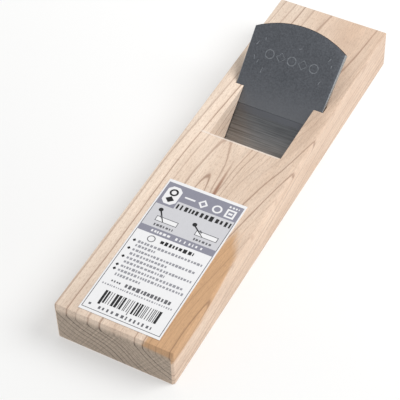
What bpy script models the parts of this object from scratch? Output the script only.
"""Small Japanese hand plane with a single tapered iron.

The body (dai) is one block of hardwood. The iron has no chip breaker, pin or screw: it is a wedge,
pushed down a sloping bed until its face jams under the front walls of two side grooves.

Frame: origin at the centre of the sole, +Y towards the end that holds the iron, +Z up, metres.
"""

import math

import bmesh
import bpy
from mathutils import Matrix, Vector

MM = 0.001

# Body block
BODY_LENGTH = 195.0 * MM
BODY_WIDTH = 50.7 * MM
BODY_HEIGHT = 18.6 * MM
END_CHAMFER_SETBACK = 1.0 * MM       # along the top face
END_CHAMFER_DROP = 3.2 * MM          # down the end face
CORNER_CHAMFER = 0.8 * MM            # the four upright corners
ARRIS_ROUND = 0.2 * MM               # every other edge is only sanded

# Iron: its face is the side that looks up and forward
FACE_ANGLE = math.radians(39.5)      # the iron's face to the sole
BED_ANGLE = math.radians(38.5)       # the bed to the sole, less by the iron's taper
IRON_CENTRE_X = 1.1 * MM             # the cavity is cut a little right of the centre line
FACE_TOP_Y = 39.8 * MM               # where the face passes the body's top surface
EDGE_HEIGHT = 0.3 * MM               # the cutting edge rests just inside the mouth
EDGE_WIDTH = 31.2 * MM
EDGE_STRAIGHT = 4.0 * MM             # the narrow lower end, below the ears
EAR_HEIGHT = 9.0 * MM                # top of the ears, the ground-off lower corners
EAR_WIDTH = 39.0 * MM                # full width just above the ears
HEAD_WIDTH = 41.8 * MM               # full width at the shoulders
SHOULDER_HEIGHT = 54.2 * MM          # edge to shoulders, along the face
CROWN_RADIUS = 41.3 * MM
EDGE_THICKNESS = 1.9 * MM            # before the bevel is ground
BEVEL_ANGLE = math.radians(28.0)
STEEL_THICKNESS = 0.8 * MM
STEEL_LENGTH = 21.0 * MM             # edge to the steel's upper border
WELD_GAP = 0.1 * MM

# Cavity in the body
THROAT_WIDTH = 32.6 * MM
THROAT_CENTRE_X = 1.0 * MM
THROAT_FRONT_Y = 8.0 * MM            # front edge on the top surface
MOUTH_STEP_Y = 15.2 * MM             # where the front wall turns steep, near the sole
MOUTH_STEP_Z = 4.0 * MM
MOUTH_FRONT_Y = 15.9 * MM            # front lip on the sole
MOUTH_NECK_WIDTH = 32.0 * MM
IRON_GAP = 0.3 * MM                  # play all round the iron in its groove
ADVANCE_ROOM = 1.5 * MM              # groove length left below the iron's ears

# Label
LABEL_WIDTH = 34.4 * MM
LABEL_LENGTH = 72.2 * MM
LABEL_THICKNESS = 0.15 * MM
LABEL_CENTRE = (0.37 * MM, -57.7 * MM)
LABEL_TURN = math.radians(0.45)      # stuck on very slightly askew
GLUE_GAP = 0.1 * MM

OVERSHOOT = 12.0 * MM                # how far a cutter runs past the surface that it opens
CROWN_STEPS = 28

FACE_DIRECTION = Vector((0.0, math.cos(FACE_ANGLE), math.sin(FACE_ANGLE)))
EDGE_Y = FACE_TOP_Y - (BODY_HEIGHT - EDGE_HEIGHT) / math.tan(FACE_ANGLE)
EDGE_POINT = Vector((IRON_CENTRE_X, EDGE_Y, EDGE_HEIGHT))
TAPER_ANGLE = FACE_ANGLE - BED_ANGLE


def clear_scene():
    for item in list(bpy.data.objects):
        bpy.data.objects.remove(item, do_unlink=True)


def new_collection(name):
    collection = bpy.data.collections.new(name)
    bpy.context.scene.collection.children.link(collection)
    return collection


def make_material(name, colour, roughness, metallic=0.0):
    material = bpy.data.materials.new(name)
    material.use_nodes = True
    shader = material.node_tree.nodes["Principled BSDF"]
    shader.inputs["Base Color"].default_value = (*colour, 1.0)
    shader.inputs["Roughness"].default_value = roughness
    shader.inputs["Metallic"].default_value = metallic
    material.diffuse_color = (*colour, 1.0)
    return material


def put_in(collection, item):
    for old in list(item.users_collection):
        old.objects.unlink(item)
    collection.objects.link(item)
    return item


def add_box(name, low, high, collection):
    """A box from its lowest to its highest corner."""
    bpy.ops.mesh.primitive_cube_add(size=1.0)
    box = bpy.context.object
    box.name = name
    low = Vector(low)
    high = Vector(high)
    box.data.transform(Matrix.Diagonal((*(high - low), 1.0)))
    box.location = (low + high) / 2
    return put_in(collection, box)


def add_slab(name, outline, low, high, collection):
    """A flat outline in X and Y, made solid from Z = low to Z = high."""
    curve = bpy.data.curves.new(name, "CURVE")
    curve.dimensions = "2D"
    curve.fill_mode = "BOTH"
    curve.extrude = (high - low) / 2
    spline = curve.splines.new("POLY")
    spline.points.add(len(outline) - 1)
    for point, (x, y) in zip(spline.points, outline):
        point.co = (x, y, 0.0, 1.0)
    spline.use_cyclic_u = True
    guide = bpy.data.objects.new(name + "_curve", curve)
    bpy.context.scene.collection.objects.link(guide)
    evaluated = guide.evaluated_get(bpy.context.evaluated_depsgraph_get())
    mesh = bpy.data.meshes.new_from_object(evaluated)
    bpy.data.objects.remove(guide)
    shape = bmesh.new()
    shape.from_mesh(mesh)
    bmesh.ops.remove_doubles(shape, verts=shape.verts, dist=1e-6)
    bmesh.ops.translate(shape, verts=shape.verts, vec=(0.0, 0.0, (low + high) / 2))
    bmesh.ops.recalc_face_normals(shape, faces=shape.faces)
    shape.to_mesh(mesh)
    shape.free()
    mesh.name = name
    slab = bpy.data.objects.new(name, mesh)
    collection.objects.link(slab)
    return slab


def cut(target, cutter):
    cutter.hide_render = True
    cutter.display_type = "WIRE"
    modifier = target.modifiers.new("cut_" + cutter.name, "BOOLEAN")
    modifier.operation = "DIFFERENCE"
    modifier.solver = "EXACT"
    modifier.object = cutter


def attach(item, parent):
    item.parent = parent
    return item


def iron_half_width(height):
    """Half the iron's width at a height above the edge; the sides are straight and taper."""
    slope = (HEAD_WIDTH - EAR_WIDTH) / 2 / (SHOULDER_HEIGHT - EAR_HEIGHT)
    return EAR_WIDTH / 2 + slope * (height - EAR_HEIGHT)


def mirrored(right_side):
    """A whole outline from its right half, listed from the bottom up."""
    left_side = [(-x, y) for x, y in reversed(right_side)]
    return right_side + [point for point in left_side if point not in right_side]


def lower_end():
    """The right half of the iron's lower end: the edge, its short neck, and the ground-off ear."""
    return [
        (EDGE_WIDTH / 2, 0.0),
        (EDGE_WIDTH / 2, EDGE_STRAIGHT),
        (iron_half_width(EAR_HEIGHT), EAR_HEIGHT),
    ]


def iron_outline():
    half = HEAD_WIDTH / 2
    centre = SHOULDER_HEIGHT - math.sqrt(CROWN_RADIUS**2 - half**2)
    sweep = math.asin(half / CROWN_RADIUS)
    right_side = lower_end()
    for step in range(CROWN_STEPS // 2 + 1):
        angle = sweep * (1 - 2 * step / CROWN_STEPS)
        x = CROWN_RADIUS * math.sin(angle) if step < CROWN_STEPS // 2 else 0.0
        right_side.append((x, centre + CROWN_RADIUS * math.cos(angle)))
    return mirrored(right_side)


def steel_outline():
    return mirrored(lower_end() + [(iron_half_width(STEEL_LENGTH), STEEL_LENGTH)])


def groove_outline():
    """The iron's outline with play round it, left open at the top and cut through at the mouth."""
    top = SHOULDER_HEIGHT + OVERSHOOT
    bottom_of_ears = EAR_HEIGHT - ADVANCE_ROOM
    return mirrored([
        (MOUTH_NECK_WIDTH / 2, -OVERSHOOT),
        (MOUTH_NECK_WIDTH / 2, EDGE_STRAIGHT - ADVANCE_ROOM),
        (iron_half_width(bottom_of_ears) + IRON_GAP, bottom_of_ears),
        (iron_half_width(top) + IRON_GAP, top),
    ])


def back_plane_box(name, gap, collection):
    """A block behind the iron's tapered back, `gap` away from it; it trims a slab to the taper."""
    reach = SHOULDER_HEIGHT + 2 * OVERSHOOT
    box = add_box(name, (-reach, -reach, -reach), (reach, reach, 0.0), collection)
    box.data.transform(Matrix.Translation(box.location))
    box.location = (0.0, 0.0, -(EDGE_THICKNESS + gap))
    box.rotation_euler = (-TAPER_ANGLE, 0.0, 0.0)
    return box


def bevel_box(collection):
    """A block whose face is the ground bevel, rising from the edge behind the iron."""
    reach = 3 * OVERSHOOT
    box = add_box("bevel_cutter", (-reach, -reach, -reach), (reach, reach, 0.0), collection)
    box.data.transform(Matrix.Translation(box.location))
    box.location = (0.0, 0.0, 0.0)
    box.rotation_euler = (-BEVEL_ANGLE, 0.0, 0.0)
    return box


def build_iron(parts, cutters, frame):
    iron_material = make_material("forge_black_iron", (0.085, 0.095, 0.11), 0.42, 1.0)
    steel_material = make_material("ground_steel", (0.16, 0.16, 0.165), 0.3, 1.0)
    bevel = attach(bevel_box(cutters), frame)
    back = attach(back_plane_box("iron_back_cutter", 0.0, cutters), frame)
    deep = -2 * OVERSHOOT / 3

    iron = attach(add_slab("blade_iron", iron_outline(), deep, 0.0, parts), frame)
    rebate = attach(
        add_box(
            "steel_rebate_cutter",
            (-HEAD_WIDTH, -OVERSHOOT, -(STEEL_THICKNESS + WELD_GAP)),
            (HEAD_WIDTH, STEEL_LENGTH + WELD_GAP, OVERSHOOT),
            cutters,
        ),
        frame,
    )
    for cutter in (back, rebate, bevel):
        cut(iron, cutter)
    iron.data.materials.append(iron_material)

    steel = attach(add_slab("blade_steel", steel_outline(), -STEEL_THICKNESS, 0.0, parts), frame)
    cut(steel, bevel)
    steel.data.materials.append(steel_material)


def build_body(parts, cutters, frame):
    body = add_box(
        "dai",
        (-BODY_WIDTH / 2, -BODY_LENGTH / 2, 0.0),
        (BODY_WIDTH / 2, BODY_LENGTH / 2, BODY_HEIGHT),
        parts,
    )
    for side in (-1, 1):
        for end in (-1, 1):
            cut(body, corner_cutter(side, end, cutters))
    for end in (-1, 1):
        cut(body, end_cutter(end, cutters))
    rounding = body.modifiers.new("sanded_edges", "BEVEL")
    rounding.width = ARRIS_ROUND
    rounding.segments = 2
    rounding.limit_method = "ANGLE"
    rounding.angle_limit = math.radians(25)

    groove_front = IRON_GAP
    deep = -2 * OVERSHOOT / 3
    groove = attach(add_slab("groove_cutter", groove_outline(), deep, groove_front, cutters), frame)
    cut(groove, attach(back_plane_box("bed_cutter", IRON_GAP, cutters), frame))
    cut(body, groove)
    cut(body, throat_cutter(cutters))
    body.data.materials.append(make_material("pale_hardwood", (0.66, 0.47, 0.34), 0.55))


def corner_cutter(side, end, collection):
    """A square post set diagonally, which takes one upright corner off the block."""
    post = OVERSHOOT
    cutter = add_box(
        "corner_cutter_{}{}".format("right" if side > 0 else "left", "_head" if end > 0 else "_tail"),
        (-post, -post, -BODY_HEIGHT),
        (post, post, 2 * BODY_HEIGHT),
        collection,
    )
    reach = post - CORNER_CHAMFER / math.sqrt(2)
    diagonal = Vector((side, end, 0.0)).normalized()
    corner = Vector((side * BODY_WIDTH / 2, end * BODY_LENGTH / 2, cutter.location.z))
    cutter.location = corner + diagonal * reach
    cutter.rotation_euler = (0.0, 0.0, math.radians(45))
    return cutter


def end_cutter(end, collection):
    """A block with a steep face, which takes the top edge off one end of the body."""
    size = OVERSHOOT
    slope = math.atan2(END_CHAMFER_DROP, END_CHAMFER_SETBACK)
    cutter = add_box(
        "head_chamfer_cutter" if end > 0 else "tail_chamfer_cutter",
        (-BODY_WIDTH, -size, 0.0),
        (BODY_WIDTH, size, size),
        collection,
    )
    cutter.data.transform(Matrix.Translation((0.0, 0.0, size / 2)))
    cutter.location = (0.0, end * (BODY_LENGTH / 2 - END_CHAMFER_SETBACK), BODY_HEIGHT)
    cutter.rotation_euler = (-end * slope, 0.0, 0.0)
    return cutter


def throat_cutter(collection):
    """The escapement: a prism between the cheeks, from the front wall back into the groove."""
    half_depth = EDGE_THICKNESS / 2
    inside = Vector((0.0, math.sin(FACE_ANGLE), -math.cos(FACE_ANGLE))) * half_depth
    bottom = EDGE_POINT + inside - FACE_DIRECTION * OVERSHOOT / 2
    top = EDGE_POINT + inside + FACE_DIRECTION * SHOULDER_HEIGHT
    front = [
        (THROAT_FRONT_Y, top.z),
        (THROAT_FRONT_Y, BODY_HEIGHT),
        (MOUTH_STEP_Y, MOUTH_STEP_Z),
        (MOUTH_FRONT_Y, 0.0),
        (MOUTH_FRONT_Y, bottom.z),
    ]
    outline = front + [(bottom.y, bottom.z), (top.y, top.z)]
    half = THROAT_WIDTH / 2
    cutter = add_slab("throat_cutter", outline, -half, half, collection)
    cutter.rotation_euler = (math.radians(90), 0.0, math.radians(90))
    cutter.location = (THROAT_CENTRE_X, 0.0, 0.0)
    return cutter


def build_label(parts):
    label = add_box(
        "paper_label",
        (-LABEL_WIDTH / 2, -LABEL_LENGTH / 2, 0.0),
        (LABEL_WIDTH / 2, LABEL_LENGTH / 2, LABEL_THICKNESS),
        parts,
    )
    label.location = (*LABEL_CENTRE, BODY_HEIGHT + GLUE_GAP + LABEL_THICKNESS / 2)
    label.rotation_euler = (0.0, 0.0, LABEL_TURN)
    label.data.materials.append(make_material("coated_paper", (0.82, 0.82, 0.83), 0.45))


def main():
    clear_scene()
    parts = new_collection("hand_plane")
    cutters = new_collection("hand_plane_cutters")
    iron_frame = bpy.data.objects.new("iron_frame", None)
    iron_frame.location = EDGE_POINT
    iron_frame.rotation_euler = (FACE_ANGLE, 0.0, 0.0)
    parts.objects.link(iron_frame)
    build_iron(parts, cutters, iron_frame)
    build_body(parts, cutters, iron_frame)
    build_label(parts)


main()
